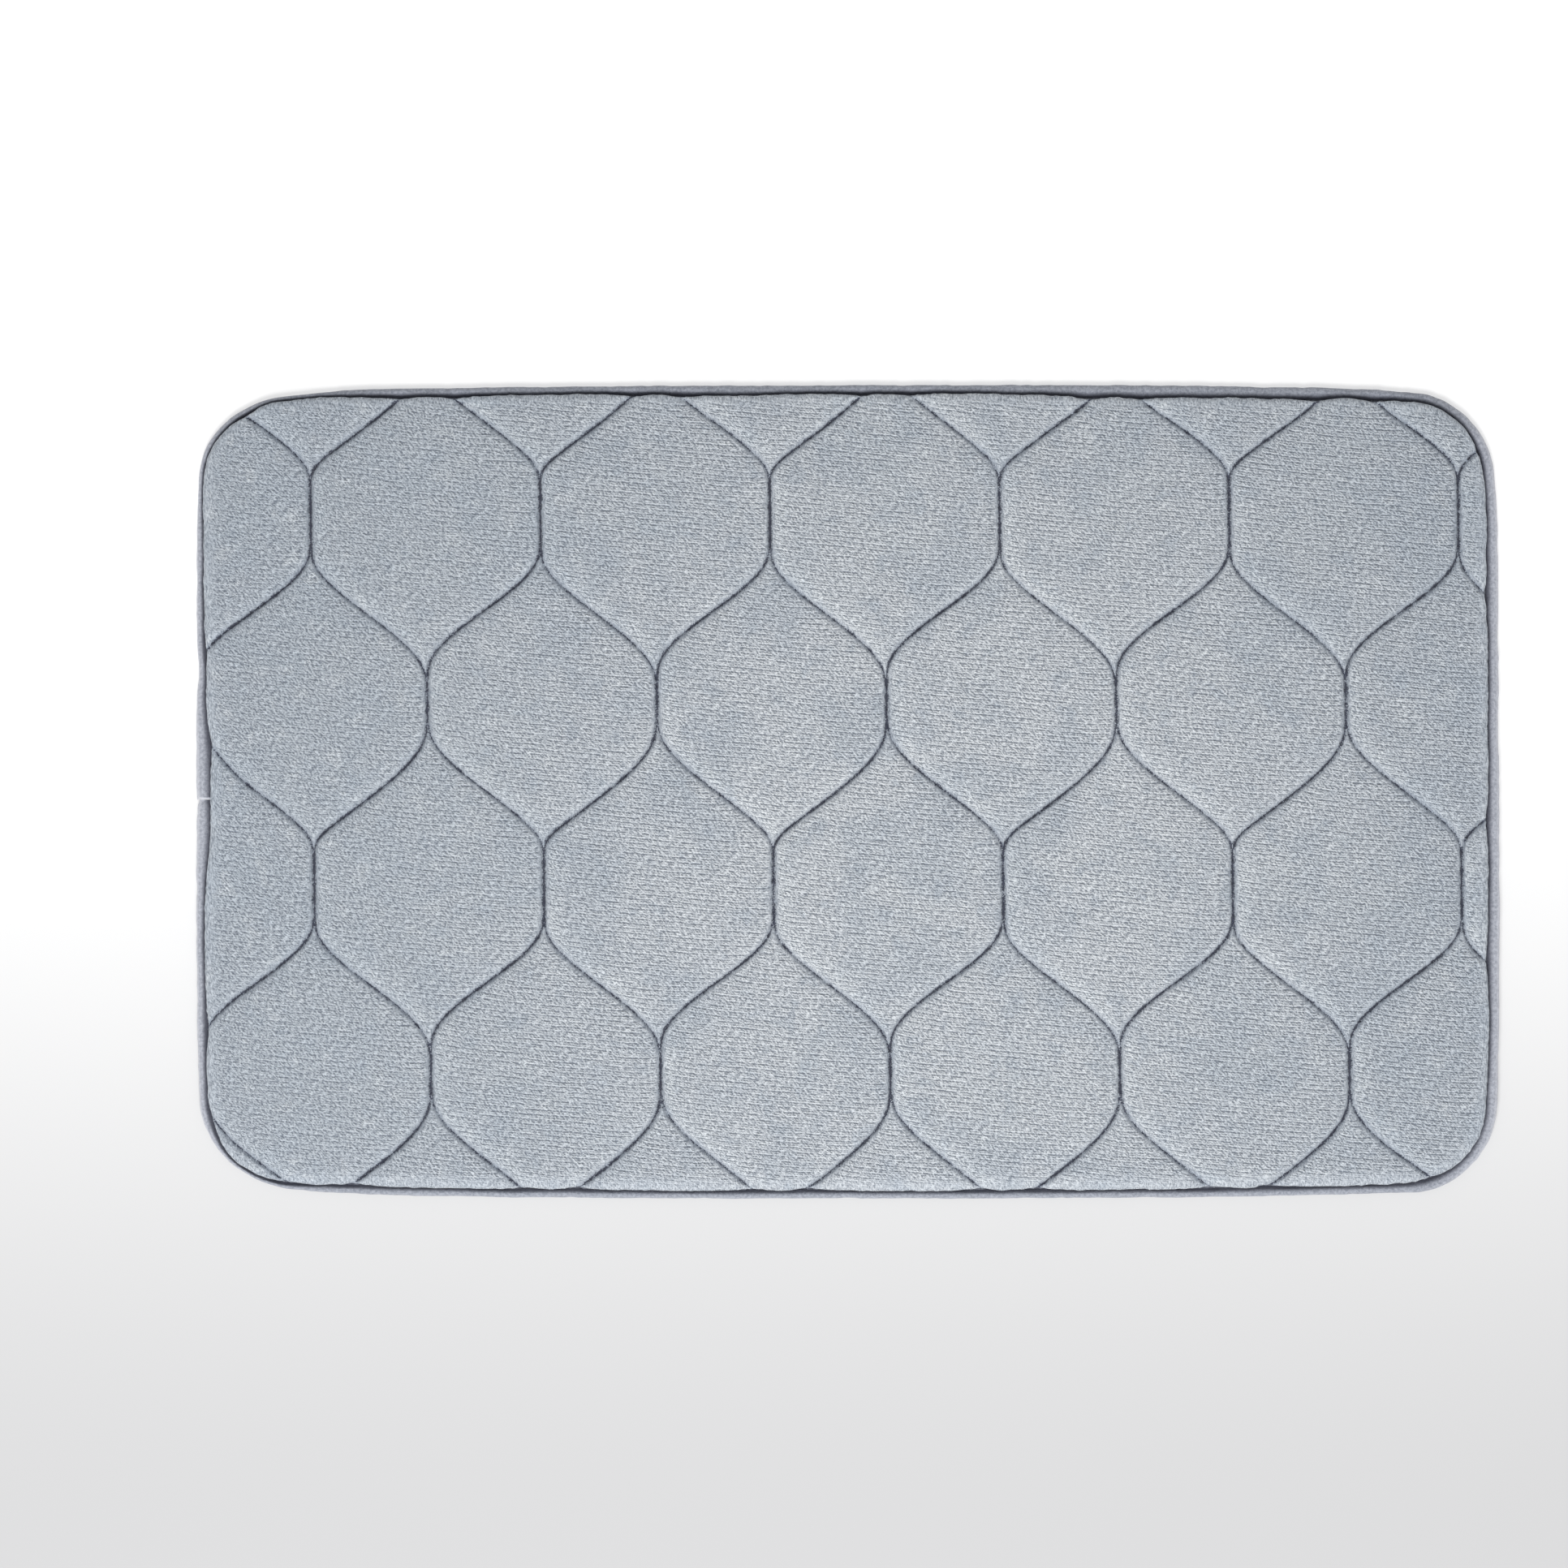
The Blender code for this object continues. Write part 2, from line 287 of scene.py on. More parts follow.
SEAM_STEP = 0.0004
SEAM_SAMPLES = seam_runs(GROOVE_INSET, SEAM_STEP)
SEAM_TREE = kdtree.KDTree(sum(len(run) for run in SEAM_SAMPLES))
SEAM_XY = np.concatenate(SEAM_SAMPLES)
SEAM_ALONG = np.concatenate([np.arange(len(run)) * np.hypot(*(run[1] - run[0])) for run in SEAM_SAMPLES])
SEAM_RUN = np.concatenate([np.full(len(run), number) for number, run in enumerate(SEAM_SAMPLES)])
SEAM_STEPS = np.concatenate([np.gradient(run, axis=0) for run in SEAM_SAMPLES]) / SEAM_STEP
for number, (x, y) in enumerate(SEAM_XY):
    SEAM_TREE.insert((x, y, 0.0), number)
SEAM_TREE.balance()


PAINTED_HIGHLIGHT_TOWARDS = (0.75, 0.66)    # the side of a seam where the fleece gets a painted highlight, the side that faces the light


def seam_field(x, y):
    """For each point: the distance to the nearest quilting line, the length along that line, how far the pile
    lies over it (1 where the line runs down to the right, as the pile leans), and which side the point is on,
    from -1 to 1 on the side that gets the painted highlight."""
    found = np.array([SEAM_TREE.find((px, py, 0.0))[1] for px, py in zip(x.tolist(), y.tolist())])
    best = np.hypot(x - SEAM_XY[found, 0], y - SEAM_XY[found, 1])
    along = SEAM_ALONG[found].copy()
    for way in (-1, 1):
        other = np.clip(found + way, 0, len(SEAM_XY) - 1)
        other = np.where(SEAM_RUN[other] == SEAM_RUN[found], other, found)
        ax, ay = SEAM_XY[found, 0], SEAM_XY[found, 1]
        bx, by = SEAM_XY[other, 0] - ax, SEAM_XY[other, 1] - ay
        size = np.maximum(bx * bx + by * by, 1e-12)
        t = np.clip(((x - ax) * bx + (y - ay) * by) / size, 0, 1)
        gap = np.hypot(x - ax - t * bx, y - ay - t * by)
        closer = gap < best
        along = np.where(closer, SEAM_ALONG[found] + way * t * np.sqrt(size), along)
        best = np.minimum(best, gap)
    off_x, off_y = x - SEAM_XY[found, 0], y - SEAM_XY[found, 1]
    side = (PAINTED_HIGHLIGHT_TOWARDS[0] * off_x + PAINTED_HIGHLIGHT_TOWARDS[1] * off_y) / np.maximum(np.hypot(off_x, off_y), 1e-6)
    return best, along, smooth(0.05, 0.40, -SEAM_STEPS[found, 0] * SEAM_STEPS[found, 1]), side


# ---------------------------------------- the crown of each cell

CROWN_RISE = 0.0009
PUFF_CAP = 0.0012         # the simulated rise levels off towards this
PUFF_HEIGHT = 0.0060      # thickness of the pad before it is blown up
PUFF_EDGE = 0.0115        # the pad is held from here outwards
PUFF_RINGS = millimetres(11.0, 15.0, 19.5)
PUFF_BOTTOM_RINGS = millimetres(11.0, 25.0)
PUFF_PRESSURE = 4.0
PUFF_STIFFNESS = 25.0
PUFF_BENDING = 0.8
PUFF_FRAMES = 20


def puffed():
    """Blows up a pad that is held along every seam and round the edge, as the foam pushes the face, and
    returns the plan points of its face, its triangles, and how far each point rose, from 0 to 1."""
    outer, inner = plan_points(PUFF_RINGS, 0.0060, (((0.0,), 0.0040),), 0.0055, 0.0012)
    xy, tris = triangulate(outer, inner)
    size, count = len(xy), len(outer)
    gap, *_ = seam_field(*xy.T)
    held = np.flatnonzero((gap < 0.0006) | (inset_at(*xy.T) < PUFF_EDGE))
    low_xy, low_tris = triangulate(*plan_points(PUFF_BOTTOM_RINGS, 0.0060, (), 0.020, 0.0012))
    co = np.concatenate((np.column_stack((xy, np.full(size, PUFF_HEIGHT))),
                         np.column_stack((low_xy, np.zeros(len(low_xy))))))
    faces = tris + [[i + size for i in reversed(t)] for t in low_tris]
    faces += [[size + i, size + (i + 1) % count, (i + 1) % count, i] for i in range(count)]
    pad = mesh_object("puff", co, faces)
    pad.vertex_groups.new(name="held").add(held.tolist() + list(range(size, len(co))), 1.0, "REPLACE")
    cloth = pad.modifiers.new("cloth", "CLOTH")
    cloth.settings.use_pressure = True
    cloth.settings.uniform_pressure_force = PUFF_PRESSURE
    cloth.settings.effector_weights.gravity = 0.0
    cloth.settings.vertex_group_mass = "held"
    cloth.settings.tension_stiffness = PUFF_STIFFNESS
    cloth.settings.compression_stiffness = PUFF_STIFFNESS
    cloth.settings.bending_stiffness = PUFF_BENDING
    cloth.point_cache.frame_end = PUFF_FRAMES
    for frame_number in range(1, PUFF_FRAMES + 1):
        bpy.context.scene.frame_set(frame_number)
    posed = pad.evaluated_get(bpy.context.evaluated_depsgraph_get())
    after = np.empty(len(posed.data.vertices) * 3)
    posed.data.vertices.foreach_get("co", after)
    rise = np.clip(after.reshape(-1, 3)[:size, 2] - PUFF_HEIGHT, 0.0, None)
    bpy.context.scene.frame_set(1)
    mesh = pad.data
    bpy.data.objects.remove(pad)
    bpy.data.meshes.remove(mesh)
    return xy, tris, np.round(np.tanh(rise / PUFF_CAP), 3)


def crown_from(xy, tris, rise):
    """A function that reads the rise between the simulated points."""
    tree = bvhtree.BVHTree.FromPolygons(np.column_stack((xy, rise)).tolist(), tris)

    def crown(x, y):
        hits = (tree.ray_cast((px, py, 2.0), (0.0, 0.0, -1.0))[0] for px, py in zip(x.tolist(), y.tolist()))
        return np.array([hit.z if hit else 0.0 for hit in hits])
    return crown


# ---------------------------------------- surfaces of the soft layers

# sections across the edge in millimetres: place in the plan against the inset or height that it gets
WALL_INSET = ((1.0, 3.4), (3.0, 5.6), (4.2, 7.1), (5.2, 7.3), (6.2, 7.0), (7.2, 7.1), (8.3, 7.9),
              (9.8, 9.4), (12.0, 11.9), (15.0, 15.0), (18.0, 18.0))
WALL_DROP = ((1.0, 10.6), (3.0, 10.4), (4.2, 9.6), (5.2, 7.9), (6.2, 5.9), (7.2, 4.2), (8.3, 2.7),
             (9.8, 1.5), (12.0, 0.6), (15.0, 0.15), (18.0, 0.0))
LINING_INSET = ((1.0, 3.4), (4.0, 7.0), (7.0, 8.9), (9.0, 9.6), (11.0, 10.6), (13.0, 12.5), (16.0, 16.0),
                (18.0, 18.0))
LINING_HEIGHT = ((1.0, 3.1), (4.0, 3.1), (7.0, 3.4), (9.0, 6.0), (11.0, 8.4), (13.0, 9.8), (16.0, 10.5),
                 (18.0, 10.5))
FOAM_WALL_INSET = ((9.0, 10.0), (10.5, 10.1), (12.0, 10.7), (13.5, 12.3), (16.0, 15.5), (19.0, 19.0))
FOAM_WALL_HEIGHT = ((9.0, 2.9), (10.5, 4.6), (12.0, 7.0), (13.5, 9.0), (16.0, 10.1), (19.0, 10.15))
SHOULDER_DEPTH = 0.0018
SHOULDER_REACH = 0.0066
GROOVE_DEPTH = 0.0034
GROOVE_REACH = 0.00125


def cover_top(xy):
    """The fleece face above each point of the plan, with its quilted grooves and rolled edge."""
    x, y = xy[:, 0], xy[:, 1]
    place = inset_at(x, y)
    gap, along, over, side = seam_field(x, y)
    ragged = np.maximum(gap + 0.00050 * ripple(x, y, 0.0017, 1) * np.exp(-gap / 0.002), 0.0)
    reach_in = smooth(0.0062, 0.0120, place)
    shoulder = SHOULDER_DEPTH * np.exp(-(gap / SHOULDER_REACH) ** 1.35)
    groove = GROOVE_DEPTH * (1 - 0.25 * over) * np.exp(-(ragged / GROOVE_REACH) ** 1.3)
    pull = np.cos(2 * math.pi * along / STITCH)
    groove = groove + 0.00045 * pull * np.exp(-gap / 0.0016)
    pucker = 0.00016 * pull * np.exp(-((gap - 0.003) / 0.0025) ** 2)
    wander = (0.00030 * ripple(x, y, 0.034, 2) + 0.00016 * ripple(x, y, 0.013, 3)
              + 0.00010 * ripple(x, y, 0.0058, 4))
    height = TOP - shoulder * reach_in - (groove + pucker) * reach_in + CROWN_RISE * crown(x, y)
    height = height - through(WALL_DROP, place) + wander * smooth(0.004, 0.012, place)
    # between seams the padding pushes the edge out; at a seam it is held in
    bulge = 0.0011 * (1 - np.exp(-(gap / 0.010) ** 1.5)) - 0.0005 * np.exp(-(gap / 0.004) ** 2)
    bulge = bulge * smooth(0.0035, 0.0062, place) * (1 - smooth(0.0085, 0.0125, place))
    nick = 0.00035 * ripple(x, y, 0.0024, 5) + 0.00025 * ripple(x, y, 0.0062, 6)
    nick = nick * smooth(0.0030, 0.0055, place) * (1 - smooth(0.0080, 0.0120, place))
    moved = at_inset(xy, carried_in(WALL_INSET, place) - bulge + nick)
    # painted highlight: the fleece is lightened next to each seam, on the side that faces the light
    nap = smooth(-0.4, 1.0, side) * smooth(0.0018, 0.0042, gap) * (1 - smooth(0.005, 0.0130, gap))
    return np.column_stack((moved, height)), {
        "seam_gap": gap + 0.00036 * over,                # the painted crease shade is narrower where the pile lies over it
        "nap": nap * reach_in,
        "rim": place - GROOVE_INSET - 0.0015,
        "depth": smooth(0.0105, 0.0060, height),         # 1 at the bottom of the groove next to the binding, where painted shade goes
    }


def cover_lining(xy):
    """The underside of the cover, pinched to its thinnest under each seam."""
    place = inset_at(*xy.T)
    gap, *_ = seam_field(*xy.T)
    pinch = 0.0014 * np.exp(-(gap / 0.0018) ** 1.2) * smooth(0.011, 0.016, place)
    height = through(LINING_HEIGHT, place) - pinch
    return np.column_stack((at_inset(xy, carried_in(LINING_INSET, place)), height)), {"seam_gap": gap}


def foam_top(xy):
    """The foam's upper face, squeezed under each seam and rounded at its edge."""
    place = inset_at(*xy.T)
    gap, *_ = seam_field(*xy.T)
    pinch = 0.0020 * np.exp(-(gap / 0.0024) ** 1.2) * smooth(0.012, 0.017, place)
    height = through(FOAM_WALL_HEIGHT, place) - pinch
    return np.column_stack((at_inset(xy, carried_in(FOAM_WALL_INSET, place)), height)), {}


def foam_bottom(xy):
    """The foam's flat lower face."""
    height = np.full(len(xy), FOAM_FLOOR)
    new_inset = np.maximum(inset_at(*xy.T), 0.0100)
    return np.column_stack((at_inset(xy, new_inset), height)), {}


# ---------------------------------------- plan points and shells

def staggered(pitch, row_share):
    """A grid over the whole mat with every other row moved along by half a pitch."""
    gx, gy = np.meshgrid(np.arange(-LENGTH / 2, LENGTH / 2, pitch),
                         np.arange(-WIDTH / 2, WIDTH / 2, pitch * row_share))
    gx = gx + (np.arange(gx.shape[0]) % 2)[:, None] * pitch / 2
    return np.column_stack((gx.ravel(), gy.ravel()))


def plan_points(ring_insets, ring_step, seam_offsets, grid, keep_off):
    """Points of a plan: rings inside the edge, rows either side of each quilting line, and a grid between.
    seam_offsets is ((offsets, step), ...). Returns the outer ring and the other points."""
    outer = ring_at(ring_insets[0], ring_step)
    limit = ring_insets[-1]
    groups = []
    for offsets, step in seam_offsets:
        for run in seam_runs(max(0.0065, ring_insets[0] + 0.002), step):
            tangent = np.gradient(run, axis=0)
            tangent /= np.linalg.norm(tangent, axis=1)[:, None]
            normal = np.column_stack((-tangent[:, 1], tangent[:, 0]))
            for offset in offsets:
                at = run + normal * offset
                gap, *_ = seam_field(*at.T)
                good = gap > abs(offset) * 0.9 - 0.0001
                groups.append(at[good & (inset_at(*at.T) > ring_insets[0] + 0.0004)])
    for inset in ring_insets[1:]:
        groups.append(outline(inset, ring_step))
    between = staggered(grid, 0.87)
    gap, *_ = seam_field(*between.T)
    furthest = max(abs(o) for offsets, _ in seam_offsets for o in offsets) if seam_offsets else 0.0
    between = between[(gap > furthest + grid * 0.45)
                      & (inset_at(*between.T) > limit + grid * 0.5)]
    groups.append(between)
    kept, taken = [], set()
    for x, y in np.concatenate(groups).tolist():
        cell = (x // keep_off, y // keep_off)
        if cell not in taken:
            taken.add(cell)
            kept.append((x, y))
    return outer, np.array(kept)


def triangulate(outer, inner):
    """Triangles over a plan. Returns the points, with the outer ring first, and the triangles."""
    points = [Vector(p) for p in np.concatenate((outer, inner)).tolist()]
    count = len(outer)
    ring = [(i, (i + 1) % count) for i in range(count)]
    made, _, faces, origin, _, _ = geometry.delaunay_2d_cdt(points, ring, [], 1, 1e-6)
    order = [-1] * count
    for place, sources in enumerate(origin):
        for source in sources:
            if source < count:
                order[source] = place
    rest = [i for i in range(len(made)) if i not in set(order)]
    new_place = {old: new for new, old in enumerate(order + rest)}
    xy = np.array([tuple(made[old]) for old in order + rest])
    tris = [[new_place[i] for i in f] for f in faces]
    a, b, c = (xy[[t[k] for t in tris]] for k in range(3))
    turn = (b[:, 0] - a[:, 0]) * (c[:, 1] - a[:, 1]) - (b[:, 1] - a[:, 1]) * (c[:, 0] - a[:, 0])
    return xy, [t if way > 0 else t[::-1] for t, way in zip(tris, turn)]


def mesh_object(name, co, faces, attributes=None):
    """A smooth-shaded object from coordinates, faces and per-point values."""
    mesh = bpy.data.meshes.new(name)
    mesh.from_pydata(co.tolist(), [], faces)
    for key, values in (attributes or {}).items():
        layer = mesh.attributes.new(key, "FLOAT", "POINT")
        layer.data.foreach_set("value", np.asarray(values, np.float32))
    mesh.shade_smooth()
    mesh.update()
    obj = bpy.data.objects.new(name, mesh)
    bpy.context.scene.collection.objects.link(obj)
    return obj


def shell(name, upper_plan, upper, lower_plan, lower):
    """A closed layer between an upper and a lower surface that share their outer ring."""
    outer, inner = upper_plan
    top_xy, top_faces = triangulate(outer, inner)
    low_xy, low_faces = triangulate(outer, lower_plan[1])
    top_co, top_values = upper(top_xy)
    low_co, low_values = lower(low_xy)
    shift, count = len(top_co), len(outer)
    faces = top_faces + [[i + shift for i in reversed(f)] for f in low_faces]
    for i in range(count):
        after = (i + 1) % count
        faces.append([shift + i, shift + after, after, i])
    co = settle(np.concatenate((top_co, low_co)))
    values = {key: np.concatenate((value, low_values.get(key, np.zeros(len(low_co)))))
              for key, value in top_values.items()}
    return mesh_object(name, co, faces, values)


# ---------------------------------------- node materials

def add(tree, kind, inputs=None, **settings):
    """A node whose inputs are linked where a socket is given and set where a value is given."""
    made = tree.nodes.new(kind)
    for key, value in settings.items():
        setattr(made, key, value)
    for key, value in (inputs or {}).items():
        if isinstance(value, bpy.types.NodeSocket):
            tree.links.new(value, made.inputs[key])
        else:
            made.inputs[key].default_value = value
    return made


def vector_maths(tree, operation, a, b=(0.0, 0.0, 0.0), output=0):
    return add(tree, "ShaderNodeVectorMath", {0: a, 1: b}, operation=operation).outputs[output]


def attribute(tree, name):
    return add(tree, "ShaderNodeAttribute", attribute_name=name).outputs["Fac"]


def noise(tree, vector, scale, detail=2.0, roughness=0.5):
    return add(tree, "ShaderNodeTexNoise", {"Vector": vector, "Scale": scale, "Detail": detail,
                                            "Roughness": roughness}).outputs["Fac"]


def maths(tree, operation, a, b=0.5, clamp=False):
    return add(tree, "ShaderNodeMath", {0: a, 1: b}, operation=operation, use_clamp=clamp).outputs[0]


def ramp(tree, value, low, high, out_low=0.0, out_high=1.0):
    return add(tree, "ShaderNodeMapRange", {"Value": value, "From Min": low, "From Max": high,
                                            "To Min": out_low, "To Max": out_high},
               interpolation_type="SMOOTHSTEP").outputs[0]


def mix(tree, factor, a, b):
    made = add(tree, "ShaderNodeMix", {0: factor}, data_type="RGBA")
    for socket, value in ((6, a), (7, b)):
        if isinstance(value, bpy.types.NodeSocket):
            tree.links.new(value, made.inputs[socket])
        else:
            made.inputs[socket].default_value = (*value, 1.0)
    return made.outputs[2]


def scaled(tree, vector, factors):
    return vector_maths(tree, "MULTIPLY", vector, factors)


def warped(tree, vector, scale, amounts, detail=1.0):
    """The vector pushed about by slow noise, so that lines drawn with it wander."""
    push = add(tree, "ShaderNodeTexNoise", {"Vector": vector, "Scale": scale, "Detail": detail})
    centred = vector_maths(tree, "SUBTRACT", push.outputs["Color"], (0.5, 0.5, 0.5))
    return vector_maths(tree, "ADD", vector, scaled(tree, centred, amounts))


def material(name, roughness, specular=0.3, sheen=0.0, sheen_roughness=0.4, tint=(1, 1, 1)):
    made = bpy.data.materials.new(name)
    made.use_nodes = True
    tree = made.node_tree
    shader = tree.nodes["Principled BSDF"]
    shader.inputs["Roughness"].default_value = roughness
    shader.inputs["Specular IOR Level"].default_value = specular
    shader.inputs["Sheen Weight"].default_value = sheen
    shader.inputs["Sheen Roughness"].default_value = sheen_roughness
    shader.inputs["Sheen Tint"].default_value = (*tint, 1.0)
    place = tree.nodes.new("ShaderNodeTexCoord").outputs["Object"]
    return made, tree, shader, place


def set_bump(tree, shader, height, distance, strength=1.0):
    bump = add(tree, "ShaderNodeBump", {"Height": height, "Distance": distance, "Strength": strength})
    tree.links.new(bump.outputs[0], shader.inputs["Normal"])


def reach(tree, vector, direction):
    """How far the vector reaches in a direction."""
    return vector_maths(tree, "DOT_PRODUCT", vector, direction, "Value")


def pair(tree, a, b):
    return add(tree, "ShaderNodeCombineXYZ", {0: a, 1: b}).outputs[0]


def waves(tree, value, period):
    return maths(tree, "SINE", maths(tree, "MULTIPLY", value, 2 * math.pi / period))


def weighted(tree, *terms):
    """The sum of (value, weight) terms."""
    total = 0.0
    for value, weight in terms:
        total = add(tree, "ShaderNodeMath", {0: value, 1: weight, 2: total},
                    operation="MULTIPLY_ADD").outputs[0]
    return total


PILE_ROW = 0.00153                  # knitting rows under the pile; every other row stands higher
PILE_SLOPE = -0.09                  # the rows run slightly down to the right
STREAK_TURN = math.radians(-44)     # the pile's own streaks run further down


def fleece_material():
    """Short pile on fine near-level knitted rows, broken by slanting streaks. Beside seams and edges it is
    combed flatter. Its colour holds painted light and shade: a painted pool of light in the middle of the
    mat, a painted highlight next to each seam on the side that faces the light, painted shade and highlights
    in the low parts and tips of the pile, and painted shade along the seams and in the groove next to the
    binding."""
    made, tree, shader, place = material("fleece", 0.95, 0.12, 0.25, 0.5, (0.93, 0.97, 1.0))
    lay = warped(tree, place, 30.0, (0.0016, 0.0016, 0.0))
    lay = warped(tree, lay, 330.0, (0.0009, 0.0007, 0.0))
    level = reach(tree, lay, (1.0, PILE_SLOPE, 0.6))
    across = reach(tree, lay, (-PILE_SLOPE, 1.0, 0.6))
    rows = waves(tree, across, PILE_ROW)
    courses = waves(tree, across, 2 * PILE_ROW)
    dash_place = pair(tree, maths(tree, "DIVIDE", level, 0.0010), maths(tree, "DIVIDE", across, 0.00058))
    dashes = noise(tree, dash_place, 1.0, 1.0)
    turn_x, turn_y = math.cos(STREAK_TURN), math.sin(STREAK_TURN)
    streak_along = maths(tree, "DIVIDE", reach(tree, lay, (turn_x, turn_y, 0.3)), 0.0026)
    streak_across = maths(tree, "DIVIDE", reach(tree, lay, (-turn_y, turn_x, 0.6)), 0.00105)
    streaks = noise(tree, pair(tree, streak_along, streak_across), 1.0, 2.0, 0.5)
    stand = noise(tree, scaled(tree, lay, (260.0, 260.0, 0.0)), 1.0, 1.0)
    even = maths(tree, "MULTIPLY", ramp(tree, stand, 0.30, 0.62), ramp(tree, level, -0.36, -0.10, 0.55, 1.0))
    open_pile = weighted(tree, (maths(tree, "MULTIPLY", rows, even), 0.95),
                         (maths(tree, "MULTIPLY", courses, even), 0.80),
                         (maths(tree, "SUBTRACT", streaks), 7.0), (maths(tree, "SUBTRACT", dashes), 4.4))
    strands = noise(tree, scaled(tree, lay, (1500.0, 330.0, 700.0)), 1.0, 1.0)
    combed = weighted(tree, (maths(tree, "SUBTRACT", strands), 5.0), (maths(tree, "SUBTRACT", streaks), 2.0))
    gap = attribute(tree, "seam_gap")
    rim = attribute(tree, "rim")
    depth = attribute(tree, "depth")
    nap = attribute(tree, "nap")
    nearest = maths(tree, "MINIMUM", gap, maths(tree, "MULTIPLY", rim, 0.5))
    openness = ramp(tree, nearest, 0.0002, 0.0050)
    pile = add(tree, "ShaderNodeMix", {0: openness, 2: combed, 3: open_pile}, data_type="FLOAT").outputs[0]
    flattened = maths(tree, "MULTIPLY", pile, ramp(tree, gap, 0.0003, 0.0030, 0.5, 1.0))
    set_bump(tree, shader, flattened, 0.00020)
    cloud = noise(tree, warped(tree, place, 9.0, (0.05, 0.05, 0.0)), 24.0, 3.0, 0.55)
    # painted pool of light: the fleece is paler in the middle of the mat and darker away from it
    centred = vector_maths(tree, "SUBTRACT", place, (0.06, -0.02, 0.0))
    light_pool_distance = vector_maths(tree, "LENGTH", scaled(tree, centred, (2.5, 2.2, 0.0)), output="Value")
    base = mix(tree, ramp(tree, light_pool_distance, 0.10, 1.20), (0.455, 0.482, 0.515), (0.345, 0.380, 0.425))
    base = mix(tree, ramp(tree, cloud, 0.44, 0.64, 0.0, 0.42), base, (0.335, 0.378, 0.432))
    worn = noise(tree, warped(tree, place, 40.0, (0.010, 0.010, 0.0)), 75.0, 2.0, 0.6)
    base = mix(tree, ramp(tree, worn, 0.54, 0.70, 0.0, 0.45), base, (0.330, 0.372, 0.425))
    base = mix(tree, ramp(tree, worn, 0.44, 0.30, 0.0, 0.35), base, (0.505, 0.535, 0.566))
    # painted shade in the low parts of the pile and painted highlight on its tips, multiplied into the colour
    shade = mix(tree, ramp(tree, pile, -1.8, 1.8), (0.46, 0.48, 0.52), (1.60, 1.58, 1.54))
    toned = add(tree, "ShaderNodeMix", {0: 1.0, 6: base, 7: shade}, data_type="RGBA",
                blend_type="MULTIPLY").outputs[2]
    # painted highlight next to each seam, on the side that faces the light
    toned = mix(tree, nap, toned, scaled(tree, toned, (1.10, 1.10, 1.09)))
    # painted shade: the fleece is darkened within about 3 mm of each seam
    painted_seam_shade = mix(tree, ramp(tree, gap, 0.0004, 0.0032, 0.45, 0.0), toned, (0.215, 0.250, 0.305))
    # painted shade: a thin near-black line along each seam, its edge made ragged by noise
    teeth = noise(tree, scaled(tree, place, (1150.0, 1150.0, 400.0)), 1.0, 2.0, 0.7)
    shade_edge_wobble = noise(tree, place, 170.0, 2.0)
    ragged_crease_gap = weighted(tree, (gap, 1.0), (maths(tree, "SUBTRACT", teeth), 0.0043),
                    (maths(tree, "SUBTRACT", shade_edge_wobble), 0.0026), (rows, -0.00016))
    painted_crease_shade = mix(tree, ramp(tree, ragged_crease_gap, 0.00078, 0.00044, 0.0, 0.95), painted_seam_shade, (0.035, 0.040, 0.065))
    # painted shade at the bottom of the groove next to the binding
    painted_groove_shade = mix(tree, maths(tree, "MULTIPLY", depth, 0.75), painted_crease_shade, (0.060, 0.063, 0.088))
    tree.links.new(painted_groove_shade, shader.inputs["Base Color"])
    return made


def velour_material():
    """Smooth short pile, with painted shade where it tucks down into the seam, a painted highlight at its
    outer edge, and painted light along the two short sides."""
    made, tree, shader, place = material("velour", 0.9, 0.10, 0.35, 0.40, (0.94, 0.94, 1.0))
    nap = noise(tree, warped(tree, place, 160.0, (0.002, 0.002, 0.002)), 1500.0, 2.0, 0.6)
    mottle = noise(tree, place, 560.0, 3.0, 0.65)
    set_bump(tree, shader, maths(tree, "ADD", nap, mottle), 0.00030)
    tuck = attribute(tree, "tuck")
    facing = attribute(tree, "facing")
    # painted light: the strip is paler along the two short sides than along the long ones
    dark = mix(tree, facing, (0.195, 0.209, 0.247), (0.270, 0.284, 0.328))
    pale = mix(tree, facing, (0.330, 0.350, 0.400), (0.440, 0.458, 0.514))
    base = mix(tree, ramp(tree, mottle, 0.32, 0.68), dark, pale)
    base = mix(tree, ramp(tree, nap, 0.40, 0.75, 0.0, 0.25), base, (0.50, 0.52, 0.57))
    # painted highlight at the outer edge, stronger along the short sides
    rim_light = maths(tree, "MULTIPLY", ramp(tree, tuck, 0.22, 0.0), ramp(tree, facing, 0.0, 1.0, 0.10, 0.50))
    base = mix(tree, rim_light, base, (0.70, 0.71, 0.76))
    # painted shade where the strip tucks down into the seam and on its back
    base = mix(tree, ramp(tree, tuck, 0.32, 1.05, 0.0, 0.94), base, (0.072, 0.076, 0.102))
    cut = mix(tree, ramp(tree, tuck, -0.20, -0.90), base, (0.56, 0.57, 0.60))
    tree.links.new(cut, shader.inputs["Base Color"])
    return made


def thread_material(name, dark, light):
    """Twisted fibres."""
    made, tree, shader, place = material(name, 0.7, 0.3, 0.2, 0.5)
    twist = noise(tree, scaled(tree, place, (2600.0, 2600.0, 2600.0)), 1.0, 1.0)
    set_bump(tree, shader, twist, 0.00010, 0.8)
    tree.links.new(mix(tree, ramp(tree, twist, 0.35, 0.65), dark, light), shader.inputs["Base Color"])
    return made


